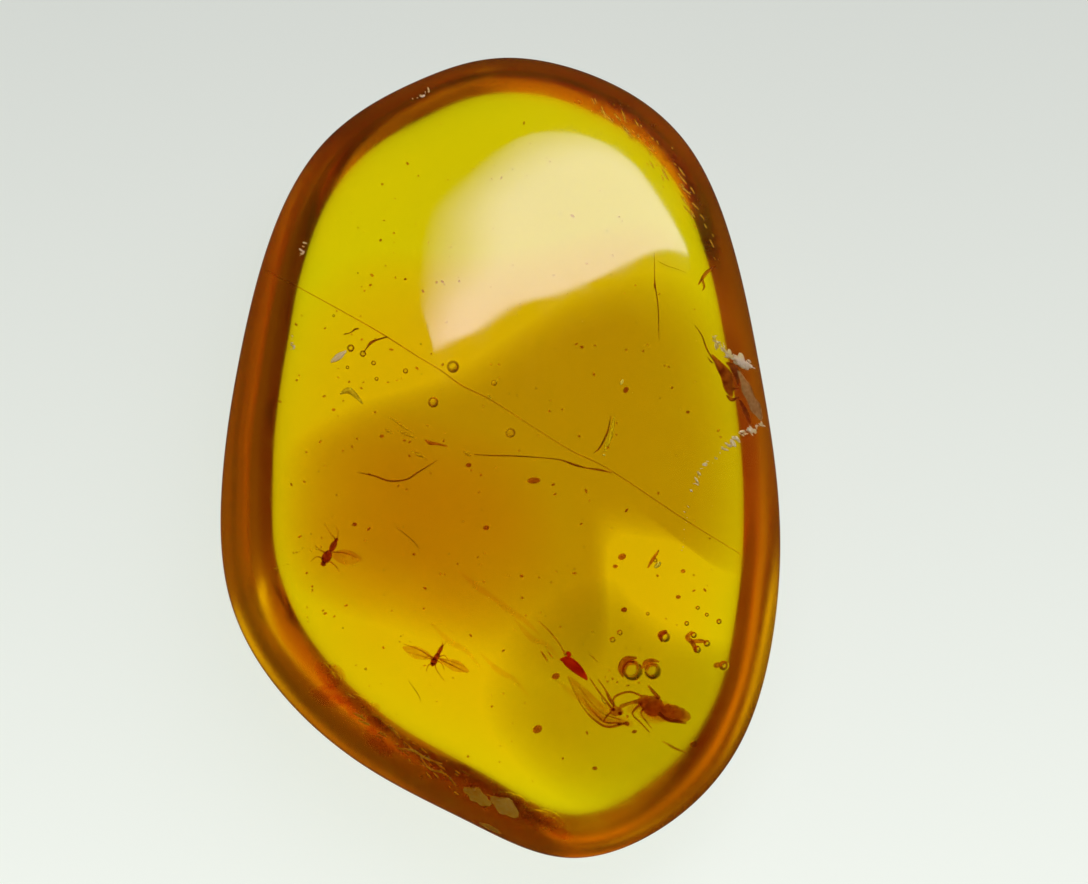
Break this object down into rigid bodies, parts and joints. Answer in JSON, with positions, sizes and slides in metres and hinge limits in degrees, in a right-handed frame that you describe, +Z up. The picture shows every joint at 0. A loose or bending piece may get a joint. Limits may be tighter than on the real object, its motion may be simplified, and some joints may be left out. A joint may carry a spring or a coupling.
{
  "type": "insect in amber",
  "caption": "Polished free-form amber stone, clear yellow with a dark orange rim, holding small midges, bubbles and threads, lying on its back.",
  "frame": {"origin": "on the surface that the stone lies on, below the middle of its box", "axes": "+Y along the stone towards its broad tight-edged end, +Z up from the surface through the dome, +X to the right of that seen from above"},
  "size_m": [0.0232, 0.0332, 0.011],
  "materials": {
    "amber": "polished",
    "insect": "satin",
    "wing": "gloss",
    "bubble": "polished",
    "thread": "matte",
    "fracture": "satin",
    "debris": "matte",
    "flow_veil": "satin"
  },
  "bodies": {
    "root": {"amber": "amber"}
  },
  "joints": []
}
